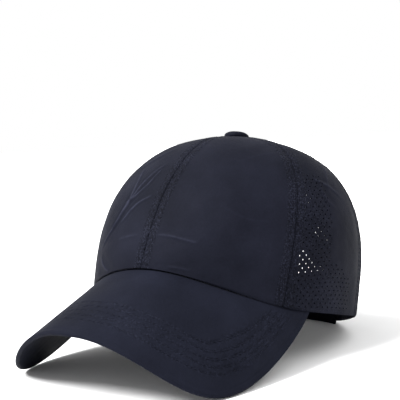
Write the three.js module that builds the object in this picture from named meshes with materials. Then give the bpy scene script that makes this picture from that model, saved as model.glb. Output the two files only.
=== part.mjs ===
// A soft baseball cap with a ponytail opening at the back, crossed by two elastic straps.
// Millimetres. Shapes are worked out in the cap's own frame, where the rim lies in the XY plane, the visor
// points to -Y and +X is the wearer's left. The finished cap is then tipped on to the surface that it rests on.
import * as THREE from "three";
import { mergeVertices } from "three/addons/utils/BufferGeometryUtils.js";

// Rim and crown
const RIM_HALF_WIDTH = 86;
const RIM_FRONT_DEPTH = 91;
const RIM_REAR_DEPTH = 92;
const CROWN_HEIGHT = 113.5;
const APEX_FORWARD = 1.75;
const FRONT_RIM_RISE = 17.5;
const REAR_RIM_DIP = 4;
const REAR_DIP_START_ANGLE = 115;
const CLOTH_THICKNESS = 1.5;

// How full the crown is at its front, sides and back: the power of its inward curve, the power of its rise,
// and how far it bulges past the rim, as a share of the rim's radius.
const CROWN_SHAPE = {
  front: { inward: 0.89, rise: 1.24, bulge: 0.01 },
  side: { inward: 0.89, rise: 0.7, bulge: 0.08 },
  back: { inward: 0.75, rise: 0.85, bulge: 0.05 },
};

// Seams between the crown's panels, as angles from the front, and the gap that each pair of pieces keeps
const FRONT_SEAM_ANGLE = -1;
const FRONT_SEAM_SWAY = 2;
const SIDE_SEAM_ANGLE = 57.5;
const SIDE_SEAM_SWEEP = 16;
const REAR_SEAM_ANGLE = 109;
const CENTRE_BACK_ANGLE = 180;
const GAP = 0.3;

// Visor
const VISOR_END_ANGLE = 70;
const VISOR_LENGTH = 62;
const VISOR_HALF_WIDTH = 82.5;
const VISOR_WIDEST_Y = -22;
const VISOR_DROOP = 68.5;
const VISOR_DROOP_POWER = 2.1;
const VISOR_DROOP_GROWTH = 0.04;
const VISOR_SLOPE = 32;
const VISOR_THICKNESS = 3;

// Ponytail opening and the band sewn along its edge
const OPENING_HALF_WIDTH = 41.5;
const OPENING_TOP_DISTANCE = 20.5;
const OPENING_POWER = 2.25;
const BINDING_WIDTH = 8;
const BINDING_TOP_DISTANCE = 7;
const BINDING_STANDS_PROUD = 0.4;
const BINDING_INSIDE = 2;

// Button on the apex, with a shank through the hole where the panels meet
const BUTTON_RADIUS = 8.5;
const BUTTON_HEIGHT = 4.9;
const BUTTON_HOLE_RADIUS = 3.2;
const SHANK_CLEARANCE = 0.5;
const SHANK_LENGTH = 3;

// Crossed elastic straps, by the height of their centre line above the rim
const ELASTIC_WIDTH = 17.5;
const ELASTIC_THICKNESS = 1.4;
const CROSS_UPPER_HEIGHT = 80;
const CROSS_MIDDLE_HEIGHT = 63;
const CROSS_LOWER_HEIGHT = 28;
const CROSS_STEEPNESS = 7;
const STRAP_TUCK = 6;

// Adjusting strap along the bottom of the opening, its loop and the loop's tab
const BACK_STRAP_HEIGHT = 20.5;
const BACK_STRAP_THICKNESS = 1.5;
const BACK_STRAP_DROP = 4;
const BACK_STRAP_INSET = 8;
const BACK_STRAP_RETURN = 24;
const LOOP_CENTRE_X = 31;
const LOOP_WIDTH = 13;
const LOOP_BAR = 2.4;
const LOOP_DEPTH = 2.2;
const LOOP_FLOOR_CLEARANCE = 0.6;
const LOOP_CORNER_RADIUS = 1.2;
const LIFT_RUN = 16;
const TAB_RUN = 5;

// Mesh fineness
const PANEL_COLUMNS = 12;
const PANEL_ROWS = 16;
const BINDING_COLUMNS = 2;
const VISOR_COLUMNS = 36;
const VISOR_ROWS = 8;
const ELASTIC_STEPS = 20;
const ELASTIC_COLUMNS = 2;
const STRAP_STEPS = 18;
const FOLD_STEPS = 6;
const BISECTION_STEPS = 40;
const NORMAL_STEP = 1e-3;
const DIRECTION_STEP = 0.5;
const MERGE_DISTANCE = 1e-4;

const { degToRad, radToDeg, clamp, lerp } = THREE.MathUtils;
const QUARTER_TURN = 90;
const HALF_TURN = 180;

const smooth = (share) => THREE.MathUtils.smoothstep(share, 0, 1);

// The value between low and high where a steadily rising function reaches its target.
function solve(rising, target, low, high) {
  for (let step = 0; step < BISECTION_STEPS; step++) {
    const middle = (low + high) / 2;
    if (rising(middle) < target) low = middle;
    else high = middle;
  }
  return (low + high) / 2;
}

// Height of the rim's edge: it arches over the visor and dips a little towards the back strap.
function rimHeight(angle) {
  const overVisor = clamp(1 - Math.abs(angle) / VISOR_END_ANGLE, 0, 1);
  const openingAngle = HALF_TURN - radToDeg(Math.asin(OPENING_HALF_WIDTH / RIM_HALF_WIDTH));
  const towardsBack = (Math.abs(angle) - REAR_DIP_START_ANGLE) / (openingAngle - REAR_DIP_START_ANGLE);
  return FRONT_RIM_RISE * smooth(overVisor) - REAR_RIM_DIP * smooth(clamp(towardsBack, 0, 1));
}

function rimPoint(angle) {
  const across = Math.sin(degToRad(angle));
  const along = Math.cos(degToRad(angle));
  const depth = along > 0 ? RIM_FRONT_DEPTH : RIM_REAR_DEPTH;
  return new THREE.Vector3(RIM_HALF_WIDTH * across, -depth * along, rimHeight(angle));
}

function shapeAt(angle, name) {
  const along = Math.cos(degToRad(angle));
  const end = along > 0 ? CROWN_SHAPE.front : CROWN_SHAPE.back;
  return lerp(CROWN_SHAPE.side[name], end[name], along * along);
}

// A point of the crown's outer face: the angle from the front, and the share of the way from rim to apex.
function crownPoint(angle, share) {
  const rise = degToRad(QUARTER_TURN * clamp(share, 0, 1));
  const bulge = shapeAt(angle, "bulge") * Math.sin(2 * rise);
  const spread = Math.cos(rise) ** shapeAt(angle, "inward") + bulge;
  const rim = rimPoint(angle);
  return new THREE.Vector3(
    rim.x * spread,
    lerp(-APEX_FORWARD, rim.y, spread),
    lerp(rim.z, CROWN_HEIGHT, Math.sin(rise) ** shapeAt(angle, "rise")),
  );
}

const apexDistance = (point) => Math.hypot(point.x, point.y + APEX_FORWARD);

// The share at which the crown, at this angle, has come in to a distance from its apex.
const WIDEST_SHARE = 0.3;
function shareAtDistance(angle, distance) {
  return solve((share) => -apexDistance(crownPoint(angle, share)), -distance, WIDEST_SHARE, 1);
}

function shareAtHeight(angle, height) {
  return solve((share) => crownPoint(angle, share).z, height, 0, 1);
}

// The angle, on the wearer's left of the back, at which the crown is this far from the middle.
function angleAtX(share, x) {
  return solve((angle) => -crownPoint(angle, share).x, -x, QUARTER_TURN, HALF_TURN);
}

function unitNormal(surface, u, v) {
  const [u0, u1] = [Math.max(u - NORMAL_STEP, 0), Math.min(u + NORMAL_STEP, 1)];
  const [v0, v1] = [Math.max(v - NORMAL_STEP, 0), Math.min(v + NORMAL_STEP, 1)];
  const alongU = surface(u1, v).sub(surface(u0, v));
  const alongV = surface(u, v1).sub(surface(u, v0));
  return alongU.cross(alongV).normalize();
}

// A BufferGeometry from points and triangles, turned so that its faces point out.
function closedGeometry(points, triangles) {
  const volume = triangles.reduce((sum, [a, b, c]) => {
    const cross = new THREE.Vector3().crossVectors(points[b], points[c]);
    return sum + points[a].dot(cross);
  }, 0);
  const facingOut = volume > 0 ? triangles : triangles.map(([a, b, c]) => [a, c, b]);
  const geometry = new THREE.BufferGeometry().setFromPoints(points);
  geometry.setIndex(facingOut.flat());
  return mergeVertices(geometry, MERGE_DISTANCE);
}

// A sheet with thickness: the surface's grid moved outside and inside along its normals and closed at its edge.
// facing is 1 where the surface's own normal points out of the cap, and -1 where it points in.
function sheetGeometry(surface, columns, rows, outside, inside, facing) {
  const points = [];
  const triangles = [];
  const perFace = (columns + 1) * (rows + 1);
  for (const offset of [outside, -inside])
    for (let row = 0; row <= rows; row++)
      for (let column = 0; column <= columns; column++) {
        const [u, v] = [column / columns, row / rows];
        const normal = unitNormal(surface, u, v).multiplyScalar(facing * offset);
        points.push(surface(u, v).add(normal));
      }
  const at = (column, row, face) => face * perFace + row * (columns + 1) + column;
  const quad = (a, b, c, d) => triangles.push([a, b, c], [a, c, d]);
  for (let row = 0; row < rows; row++)
    for (let column = 0; column < columns; column++) {
      const corners = [[column, row], [column + 1, row], [column + 1, row + 1], [column, row + 1]];
      quad(...corners.map(([c, r]) => at(c, r, 0)));
      quad(...corners.map(([c, r]) => at(c, r, 1)).reverse());
    }
  for (let column = 0; column < columns; column++) {
    quad(at(column, 0, 0), at(column, 0, 1), at(column + 1, 0, 1), at(column + 1, 0, 0));
    quad(at(column, rows, 0), at(column + 1, rows, 0), at(column + 1, rows, 1), at(column, rows, 1));
  }
  for (let row = 0; row < rows; row++) {
    quad(at(0, row, 0), at(0, row + 1, 0), at(0, row + 1, 1), at(0, row, 1));
    quad(at(columns, row, 0), at(columns, row, 1), at(columns, row + 1, 1), at(columns, row + 1, 0));
  }
  return closedGeometry(points, triangles);
}

// A panel of the crown between two edges, each given as an angle for a share of the way up.
function panelSurface(fromAngle, toAngle) {
  return (u, v) => {
    const angle = lerp(fromAngle(v), toAngle(v), u);
    return crownPoint(angle, v * shareAtDistance(angle, BUTTON_HOLE_RADIUS));
  };
}

// Puts a row of a sheet's grid exactly at a corner of its outline: v runs evenly to the corner, then evenly on.
function throughCorner(v, cornerRowShare, corner, top) {
  if (v < cornerRowShare) return (v / cornerRowShare) * corner;
  return lerp(corner, top, (v - cornerRowShare) / (1 - cornerRowShare));
}

// Seam edges: towards is 1 for the edge of the panel that lies at larger angles, and -1 for the other one.
function besideSeam(angleAt, towards) {
  return (v) => {
    const angle = angleAt(v);
    const radius = apexDistance(crownPoint(angle, v * shareAtDistance(angle, BUTTON_HOLE_RADIUS)));
    return angle + towards * radToDeg(Math.asin(GAP / 2 / radius));
  };
}

const frontSeam = (v) => FRONT_SEAM_ANGLE + FRONT_SEAM_SWAY * Math.sin(Math.PI * v);
const sideSeam = (v) => SIDE_SEAM_ANGLE + SIDE_SEAM_SWEEP * v;
const rearSeam = () => REAR_SEAM_ANGLE;
const mirrored = (angleAt) => (v) => -angleAt(v);

// Half the width of the opening, or of the outline that lies a band's width outside it.
const openingTopShare = shareAtDistance(CENTRE_BACK_ANGLE, OPENING_TOP_DISTANCE);
const bindingTopShare = shareAtDistance(CENTRE_BACK_ANGLE, BINDING_TOP_DISTANCE);
function outlineHalfWidth(share, halfWidth, topShare) {
  return halfWidth * (1 - clamp(share / topShare, 0, 1) ** OPENING_POWER);
}
const openingEdge = (share) => outlineHalfWidth(share, OPENING_HALF_WIDTH, openingTopShare);
const bindingEdge = (share) => outlineHalfWidth(share, OPENING_HALF_WIDTH + BINDING_WIDTH, bindingTopShare);

const UPPER_CORNER_ROW = 13;
function rearPanelSurface(u, v) {
  const row = UPPER_CORNER_ROW / PANEL_ROWS;
  const rise = throughCorner(v, row, bindingTopShare, shareAtDistance(CENTRE_BACK_ANGLE, BUTTON_HOLE_RADIUS));
  const innerAngle = angleAtX(rise, bindingEdge(rise) + GAP / 2);
  const seamAngle = besideSeam(rearSeam, 1)(v);
  const angle = lerp(seamAngle, innerAngle, u);
  const ownRise = throughCorner(v, row, bindingTopShare, shareAtDistance(angle, BUTTON_HOLE_RADIUS));
  return crownPoint(angle, lerp(ownRise, rise, u));
}

// Crown panels. side is 1 for the wearer's left and -1 for the right.
function frontPanelGeometry(side) {
  const middle = side > 0 ? frontSeam : mirrored(frontSeam);
  const surface = panelSurface(besideSeam(middle, 1), besideSeam(sideSeam, -1));
  return crownSheet(surface, side);
}

function sidePanelGeometry(side) {
  return crownSheet(panelSurface(besideSeam(sideSeam, 1), besideSeam(rearSeam, -1)), side);
}

function rearPanelGeometry(side) {
  return crownSheet(rearPanelSurface, side);
}

function onSide(surface, side) {
  return (u, v) => {
    const point = surface(u, v);
    point.x *= side;
    return point;
  };
}

function crownSheet(surface, side) {
  return sheetGeometry(onSide(surface, side), PANEL_COLUMNS, PANEL_ROWS, 0, CLOTH_THICKNESS, side);
}

// The band along the opening's edge, from the rim to its tip on the centre back seam.
const BINDING_TIP_SHARE = 0.985;
function bindingGeometry(side) {
  const surface = (u, v) => {
    const tip = bindingTopShare * BINDING_TIP_SHARE;
    const share = throughCorner(v, UPPER_CORNER_ROW / PANEL_ROWS, Math.min(openingTopShare, tip), tip);
    const outer = bindingEdge(share) - GAP / 2;
    const inner = Math.max(openingEdge(share), GAP / 2);
    return crownPoint(angleAtX(share, lerp(outer, inner, u)), share);
  };
  const placed = onSide(surface, side);
  return sheetGeometry(placed, BINDING_COLUMNS, PANEL_ROWS, BINDING_STANDS_PROUD, BINDING_INSIDE, side);
}

// Visor: a ruled sheet from the rim to a rounded outline, which lies on a drooping sloped surface.
const VISOR_OUTLINE_POWERS = { across: 2 / 1.75, along: 2 / 4.2 };
const VISOR_CORNER_POWER = 12;
const VISOR_LAST_COLUMN = 0.9985;
function visorOutline(u) {
  const turn = degToRad(u * QUARTER_TURN);
  const x = VISOR_HALF_WIDTH * Math.sign(u) * Math.abs(Math.sin(turn)) ** VISOR_OUTLINE_POWERS.across;
  const reach = RIM_FRONT_DEPTH + VISOR_LENGTH + VISOR_WIDEST_Y;
  const y = VISOR_WIDEST_Y - reach * Math.cos(turn) ** VISOR_OUTLINE_POWERS.along;
  const forward = -y - RIM_FRONT_DEPTH;
  const growth = 1 + (VISOR_DROOP_GROWTH * forward) / VISOR_LENGTH;
  const droop = VISOR_DROOP * growth * (Math.abs(x) / VISOR_HALF_WIDTH) ** VISOR_DROOP_POWER;
  const z = FRONT_RIM_RISE - droop - forward * Math.tan(degToRad(VISOR_SLOPE));
  return new THREE.Vector3(x, y, z).lerp(rimPoint(VISOR_END_ANGLE * Math.sign(u)), Math.abs(u) ** VISOR_CORNER_POWER);
}

function visorGeometry() {
  const surface = (share, v) => {
    const u = VISOR_LAST_COLUMN * Math.sin(degToRad(lerp(-QUARTER_TURN, QUARTER_TURN, share)));
    return rimPoint(VISOR_END_ANGLE * u).lerp(visorOutline(u), v);
  };
  return sheetGeometry(surface, VISOR_COLUMNS, VISOR_ROWS, -GAP, GAP + VISOR_THICKNESS, -1);
}

// Covered button: a low dome with a shank that goes down through the panels.
function buttonGeometry() {
  const shankRadius = BUTTON_HOLE_RADIUS - SHANK_CLEARANCE;
  const edgeHeight = BUTTON_HEIGHT / 3;
  const profile = [new THREE.Vector2(0, -SHANK_LENGTH), new THREE.Vector2(shankRadius, -SHANK_LENGTH)];
  profile.push(new THREE.Vector2(shankRadius, GAP), new THREE.Vector2(BUTTON_RADIUS, GAP));
  for (let step = 0; step <= FOLD_STEPS; step++) {
    const turn = (step / FOLD_STEPS) * (Math.PI / 2);
    const height = edgeHeight + (BUTTON_HEIGHT - edgeHeight) * Math.sin(turn);
    profile.push(new THREE.Vector2(BUTTON_RADIUS * Math.cos(turn), GAP + height));
  }
  return closedLathe(profile);
}

const LATHE_SIDES = 24;
function closedLathe(profile) {
  const geometry = new THREE.LatheGeometry(profile, LATHE_SIDES);
  geometry.deleteAttribute("normal");
  geometry.deleteAttribute("uv");
  geometry.rotateX(Math.PI / 2);
  return geometry;
}

// Elastic strap from under the band at the upper end on one side to under the band at the lower end on the other.
// Its centre line is a Bezier curve of distance from the middle and height, laid on the inside of the crown.
function crossStrapRoute(share) {
  const upperX = openingEdge(shareAtHeight(CENTRE_BACK_ANGLE, CROSS_UPPER_HEIGHT)) + STRAP_TUCK;
  const lowerX = openingEdge(shareAtHeight(CENTRE_BACK_ANGLE, CROSS_LOWER_HEIGHT)) + STRAP_TUCK;
  // The two inner points are placed so that the curve's own middle is in the middle, at CROSS_MIDDLE_HEIGHT.
  const innerSum = (8 * CROSS_MIDDLE_HEIGHT - CROSS_UPPER_HEIGHT - CROSS_LOWER_HEIGHT) / 3;
  const innerX = (lowerX - upperX) / 3;
  const reach = (upperX + lowerX) / 3;
  const route = new THREE.CubicBezierCurve(
    new THREE.Vector2(upperX, CROSS_UPPER_HEIGHT),
    new THREE.Vector2((innerX + reach) / 2, (innerSum + CROSS_STEEPNESS) / 2),
    new THREE.Vector2((innerX - reach) / 2, (innerSum - CROSS_STEEPNESS) / 2),
    new THREE.Vector2(-lowerX, CROSS_LOWER_HEIGHT),
  );
  return route.getPoint(share);
}

// The crown's face straight behind a distance from the middle and a height.
function backOfCrown(x, height) {
  const share = shareAtHeight(CENTRE_BACK_ANGLE, height);
  const point = crownPoint(angleAtX(share, Math.abs(x)), share);
  point.x *= Math.sign(x) || 1;
  return point;
}

function backNormal(x, height) {
  const across = backOfCrown(x - DIRECTION_STEP, height).sub(backOfCrown(x + DIRECTION_STEP, height));
  const up = backOfCrown(x, height + DIRECTION_STEP).sub(backOfCrown(x, height - DIRECTION_STEP));
  return across.cross(up).normalize();
}

// How far the crown bows away from a flat strap along the strap's edges, where it is bent most.
function ribbonSag() {
  const halfWidth = ELASTIC_WIDTH / 2;
  const x = crossStrapRoute(0).x;
  const chord = backOfCrown(x, CROSS_UPPER_HEIGHT + halfWidth).add(backOfCrown(x, CROSS_UPPER_HEIGHT - halfWidth));
  return backOfCrown(x, CROSS_UPPER_HEIGHT).distanceTo(chord.multiplyScalar(0.5));
}

const RIBBON_SAG = ribbonSag();
const STRAP_DEPTH = BINDING_INSIDE + GAP + RIBBON_SAG;
const CROSSING_LIFT = ELASTIC_THICKNESS + 2 * GAP + RIBBON_SAG;
const LIFT_STARTS = 0.95;
const LIFT_ENDS = 0.45;
function crossStrapGeometry(side) {
  const over = side > 0 ? 1 : 0;
  const centre = (share) => {
    const { x, y: height } = crossStrapRoute(share);
    const fromMiddle = Math.abs(2 * share - 1);
    const lift = over * CROSSING_LIFT * (1 - THREE.MathUtils.smoothstep(fromMiddle, LIFT_ENDS, LIFT_STARTS));
    return backOfCrown(x, height).addScaledVector(backNormal(x, height), lift - STRAP_DEPTH);
  };
  const surface = (u, v) => {
    const { x, y: height } = crossStrapRoute(u);
    const [u0, u1] = [Math.max(u - NORMAL_STEP, 0), Math.min(u + NORMAL_STEP, 1)];
    const along = centre(u1).sub(centre(u0)).normalize();
    const acrossStrap = along.cross(backNormal(x, height)).normalize();
    return centre(u).addScaledVector(acrossStrap, ELASTIC_WIDTH * (v - 0.5));
  };
  return sheetGeometry(onSide(surface, side), ELASTIC_STEPS, ELASTIC_COLUMNS, 0, ELASTIC_THICKNESS, -side);
}

// The back strap's line in plan, for a distance of the rim from the middle: just inside it, and flatter than it.
function backLine(x) {
  const side = clamp(x / (OPENING_HALF_WIDTH + STRAP_TUCK), -1, 1);
  const tucked = BINDING_INSIDE + 2 * GAP + BACK_STRAP_THICKNESS / 2;
  const inset = lerp(BACK_STRAP_INSET, tucked, side * side);
  const rimY = RIM_REAR_DEPTH * Math.sqrt(1 - (x / RIM_HALF_WIDTH) ** 2);
  const rimNormal = new THREE.Vector2(x / RIM_HALF_WIDTH ** 2, rimY / RIM_REAR_DEPTH ** 2).normalize();
  return new THREE.Vector2(x, rimY).addScaledVector(rimNormal, -inset);
}

function backLineFrame(x) {
  const along = backLine(x + DIRECTION_STEP).sub(backLine(x - DIRECTION_STEP)).normalize();
  return { at: backLine(x), along, out: new THREE.Vector2(-along.y, along.x) };
}

// The surface that the cap rests on, seen from the cap's frame: it touches the back strap and the visor's ends.
const strapHeelY = backLineFrame(0).at.y + BACK_STRAP_THICKNESS / 2;
const visorShape = visorGeometry();
function findRestTilt() {
  const points = visorShape.getAttribute("position");
  let steepest = 0;
  for (let index = 0; index < points.count; index++) {
    const fall = -BACK_STRAP_DROP - points.getZ(index);
    steepest = Math.max(steepest, Math.atan2(fall, strapHeelY - points.getY(index)));
  }
  return steepest;
}
const restTilt = findRestTilt();
const floorHeight = (y) => -BACK_STRAP_DROP - (strapHeelY - y) * Math.tan(restTilt);

// A band that stands on edge: its route in plan, and how far its lower edge is lifted off the floor at each point.
function bandGeometry(route, height, thickness) {
  const points = [];
  const triangles = [];
  const count = route.length;
  route.forEach(({ at, lift }, index) => {
    const before = route[Math.max(index - 1, 0)].at;
    const after = route[Math.min(index + 1, count - 1)].at;
    const along = after.clone().sub(before).normalize();
    for (const side of [1, -1]) {
      const x = at.x - (side * thickness * along.y) / 2;
      const y = at.y + (side * thickness * along.x) / 2;
      const low = floorHeight(y) + lift;
      points.push(new THREE.Vector3(x, y, low), new THREE.Vector3(x, y, low + height));
    }
  });
  const ring = [0, 1, 3, 2];
  const at = (step, corner) => ring.length * step + corner;
  const quad = (a, b, c, d) => triangles.push([a, b, c], [a, c, d]);
  for (let index = 0; index + 1 < count; index++)
    ring.forEach((corner, place) => {
      const next = ring[(place + 1) % ring.length];
      quad(at(index, corner), at(index, next), at(index + 1, next), at(index + 1, corner));
    });
  quad(...ring.map((corner) => at(0, corner)).reverse());
  quad(...ring.map((corner) => at(count - 1, corner)));
  return closedGeometry(points, triangles);
}

// Loop: where it hangs on the back line, and where each strap folds round one of its side bars
const loopFrame = backLineFrame(-LOOP_CENTRE_X);
const foldRadius = Math.hypot(LOOP_BAR, LOOP_DEPTH) / 2 + GAP + BACK_STRAP_THICKNESS / 2;
const foldReach = foldRadius + BACK_STRAP_THICKNESS / 2;
const loopReachY = (Math.abs(loopFrame.along.y) * LOOP_WIDTH) / 2 + loopFrame.out.y * foldReach;
const floorUnderLoop = [-1, 1].map((end) => floorHeight(loopFrame.at.y + end * loopReachY));
const loopLow = floorUnderLoop[1] + LOOP_FLOOR_CLEARANCE;
const strapLift = loopLow + LOOP_BAR + GAP - floorUnderLoop[0];
const windowHeight = BACK_STRAP_HEIGHT + 2 * GAP + floorUnderLoop[1] - floorUnderLoop[0];
const barOffset = (LOOP_WIDTH - LOOP_BAR) / 2;
const barCentre = (towards) => loopFrame.at.clone().addScaledVector(loopFrame.along, towards * barOffset);
const barX = (towards) => -LOOP_CENTRE_X + towards * barOffset * loopFrame.along.x;

// A fold round the bar on one side of the loop, from the outer layer through the window to the inner layer.
function foldRoute(towards) {
  const centre = barCentre(towards);
  const route = [];
  for (let step = 0; step <= FOLD_STEPS; step++) {
    const turn = lerp(0, Math.PI, step / FOLD_STEPS);
    const at = centre.clone();
    at.addScaledVector(loopFrame.out, foldRadius * Math.cos(turn));
    at.addScaledVector(loopFrame.along, -towards * foldRadius * Math.sin(turn));
    route.push({ at, lift: strapLift });
  }
  return route;
}

// One layer of a strap along the back line, moved out of that line where it comes near a bar of the loop.
// layer is 1 for the outer layer and -1 for the one folded back inside it.
function layerRoute(fromX, toX, { nearX, layer, run, liftFar }) {
  const route = [];
  const steps = Math.max(2, Math.round((STRAP_STEPS * Math.abs(toX - fromX)) / (2 * OPENING_HALF_WIDTH)));
  for (let step = 0; step <= steps; step++) {
    const x = lerp(fromX, toX, step / steps);
    const near = 1 - smooth(clamp(Math.abs(x - nearX) / run, 0, 1));
    const { at, out } = backLineFrame(x);
    const apart = lerp(layer < 0 ? BACK_STRAP_THICKNESS + GAP : 0, foldRadius, near);
    route.push({ at: at.addScaledVector(out, layer * apart), lift: lerp(liftFar, strapLift, near) });
  }
  return route;
}

const strapStartX = OPENING_HALF_WIDTH + STRAP_TUCK;
function backStrapGeometry() {
  const nearX = barX(1);
  const foldX = nearX + BACK_STRAP_THICKNESS;
  const settings = { nearX, run: LIFT_RUN, liftFar: 0 };
  const outer = layerRoute(strapStartX, foldX, { ...settings, layer: 1 });
  const inner = layerRoute(foldX, nearX + BACK_STRAP_RETURN, { ...settings, layer: -1 });
  return bandGeometry([...outer, ...foldRoute(1), ...inner], BACK_STRAP_HEIGHT, BACK_STRAP_THICKNESS);
}

function loopTabGeometry() {
  const nearX = barX(-1);
  const foldX = nearX - BACK_STRAP_THICKNESS;
  const settings = { nearX, run: TAB_RUN, liftFar: strapLift };
  const outer = layerRoute(-strapStartX, foldX, { ...settings, layer: 1 });
  const inner = layerRoute(foldX, -OPENING_HALF_WIDTH, { ...settings, layer: -1 });
  return bandGeometry([...outer, ...foldRoute(-1), ...inner], BACK_STRAP_HEIGHT, BACK_STRAP_THICKNESS);
}

function roundedRectangle(width, low, high, radius, path) {
  const half = width / 2;
  path.moveTo(-half + radius, low);
  path.lineTo(half - radius, low);
  path.absarc(half - radius, low + radius, radius, -Math.PI / 2, 0, false);
  path.lineTo(half, high - radius);
  path.absarc(half - radius, high - radius, radius, 0, Math.PI / 2, false);
  path.lineTo(-half + radius, high);
  path.absarc(-half + radius, high - radius, radius, Math.PI / 2, Math.PI, false);
  path.lineTo(-half, low + radius);
  path.absarc(-half + radius, low + radius, radius, Math.PI, 1.5 * Math.PI, false);
  return path;
}

const LOOP_CURVE_SEGMENTS = 4;
function loopGeometry() {
  const height = windowHeight + 2 * LOOP_BAR;
  const outline = roundedRectangle(LOOP_WIDTH, 0, height, LOOP_CORNER_RADIUS, new THREE.Shape());
  const windowWidth = LOOP_WIDTH - 2 * LOOP_BAR;
  const windowCorner = LOOP_CORNER_RADIUS / 2;
  const hole = roundedRectangle(windowWidth, LOOP_BAR, height - LOOP_BAR, windowCorner, new THREE.Path());
  outline.holes.push(hole);
  const settings = { depth: LOOP_DEPTH, bevelEnabled: false, curveSegments: LOOP_CURVE_SEGMENTS };
  const geometry = new THREE.ExtrudeGeometry(outline, settings);
  geometry.deleteAttribute("normal");
  geometry.deleteAttribute("uv");
  return geometry.translate(0, 0, -LOOP_DEPTH / 2);
}

// Colours and finishes
const COLOURS = {
  cloth: { color: 0x262a38, roughness: 0.72 },
  perforatedCloth: { color: 0x242836, roughness: 0.75 },
  visorCloth: { color: 0x272b39, roughness: 0.7 },
  binding: { color: 0x20232f, roughness: 0.8 },
  elastic: { color: 0x191b24, roughness: 0.85 },
  plastic: { color: 0x101114, roughness: 0.4 },
};
function cloth(name) {
  return new THREE.MeshStandardMaterial({ ...COLOURS[name], metalness: 0 });
}

const cap = new THREE.Group();
function add(name, geometry, finish) {
  const mesh = new THREE.Mesh(geometry, cloth(finish));
  mesh.name = name;
  cap.add(mesh);
  return mesh;
}

for (const [sideName, side] of [["left", 1], ["right", -1]]) {
  add(`front_panel_${sideName}`, frontPanelGeometry(side), "cloth");
  add(`side_panel_${sideName}`, sidePanelGeometry(side), "perforatedCloth");
  add(`rear_panel_${sideName}`, rearPanelGeometry(side), "perforatedCloth");
  add(`opening_binding_${sideName}`, bindingGeometry(side), "binding");
  add(`cross_strap_${sideName}`, crossStrapGeometry(side), "elastic");
}
add("visor", visorShape, "visorCloth");
add("top_button", buttonGeometry(), "cloth").position.set(0, -APEX_FORWARD, CROWN_HEIGHT);
add("back_strap", backStrapGeometry(), "elastic");
add("loop_tab", loopTabGeometry(), "elastic");

const loop = add("strap_loop", loopGeometry(), "plastic");
loop.position.set(loopFrame.at.x, loopFrame.at.y, loopLow);
const loopAxes = [
  new THREE.Vector3(-loopFrame.along.x, -loopFrame.along.y, 0),
  new THREE.Vector3(0, 0, 1),
  new THREE.Vector3(loopFrame.out.x, loopFrame.out.y, 0),
];
loop.quaternion.setFromRotationMatrix(new THREE.Matrix4().makeBasis(...loopAxes));

// The cap at rest: its nose tipped up until the visor's ends and the back strap stand on the surface, and the
// origin at the middle of its footprint.
cap.rotation.x = -restTilt;
const part = new THREE.Group();
part.add(cap);
const heel = new THREE.Vector3(0, strapHeelY, -BACK_STRAP_DROP).applyEuler(cap.rotation);
const bounds = new THREE.Box3().setFromObject(part, true);
const middle = bounds.getCenter(new THREE.Vector3());
cap.position.set(-middle.x, -middle.y, -heel.z);

export default part;
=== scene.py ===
"""The looks of a ponytail baseball cap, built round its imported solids.

Shapes are worked out in millimetres in the cap's own frame, where the rim lies in the XY plane, the visor
points to -Y and +X is the wearer's left. They are then tipped on to the floor as the solids are, in metres.
"""

import math

import bpy
import numpy as np
from mathutils import Matrix, Vector
from mathutils.geometry import delaunay_2d_cdt


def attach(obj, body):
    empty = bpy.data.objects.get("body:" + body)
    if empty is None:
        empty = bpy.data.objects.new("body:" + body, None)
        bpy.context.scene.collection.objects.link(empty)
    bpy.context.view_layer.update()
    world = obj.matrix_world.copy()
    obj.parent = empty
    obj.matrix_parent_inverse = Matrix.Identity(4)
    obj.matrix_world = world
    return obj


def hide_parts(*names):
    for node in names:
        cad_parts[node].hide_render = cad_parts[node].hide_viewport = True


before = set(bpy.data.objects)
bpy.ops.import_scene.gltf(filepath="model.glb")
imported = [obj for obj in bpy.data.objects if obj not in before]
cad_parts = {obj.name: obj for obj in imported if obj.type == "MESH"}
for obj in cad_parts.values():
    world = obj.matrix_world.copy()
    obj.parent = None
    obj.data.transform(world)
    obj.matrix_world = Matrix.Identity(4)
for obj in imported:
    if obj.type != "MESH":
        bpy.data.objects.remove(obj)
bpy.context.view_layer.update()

# The cap at rest: how far its nose is tipped up, and where its own origin then stands
REST_TILT = 13.391
CAP_PLACE = (0.0, 27.4542, 23.5186)
MM = 0.001
SIDE_WORDS = {1: "left", -1: "right"}

# Rim and crown, as in the solids
RIM_HALF_WIDTH = 86
RIM_FRONT_DEPTH = 91
RIM_REAR_DEPTH = 92
CROWN_HEIGHT = 113.5
APEX_FORWARD = 1.75
FRONT_RIM_RISE = 17.5
REAR_RIM_DIP = 4
REAR_DIP_START_ANGLE = 115
CROWN_SHAPE = {
    "inward": (0.89, 0.89, 0.75),
    "rise": (1.24, 0.7, 0.85),
    "bulge": (0.01, 0.08, 0.05),
}
SIDE_SEAM_ANGLE = 57.5
SIDE_SEAM_SWEEP = 16
FRONT_SEAM_ANGLE = -1
FRONT_SEAM_SWAY = 2
REAR_SEAM_ANGLE = 109
GAP = 0.3

# Visor
VISOR_END_ANGLE = 70
VISOR_LENGTH = 62
VISOR_HALF_WIDTH = 82.5
VISOR_WIDEST_Y = -22
VISOR_DROOP = 68.5
VISOR_DROOP_POWER = 2.1
VISOR_DROOP_GROWTH = 0.04
VISOR_SLOPE = 32
VISOR_THICKNESS = 3
VISOR_OUTLINE_POWERS = (2 / 1.75, 2 / 4.2)
VISOR_CORNER_POWER = 12
VISOR_LAST_COLUMN = 0.9985

# Ponytail opening and its band
OPENING_HALF_WIDTH = 41.5
OPENING_TOP_DISTANCE = 20.5
OPENING_POWER = 2.25
BINDING_WIDTH = 8
BINDING_TOP_DISTANCE = 7
BINDING_INSIDE = 2
BUTTON_RADIUS = 8.5
BUTTON_HEIGHT = 4.9

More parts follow.
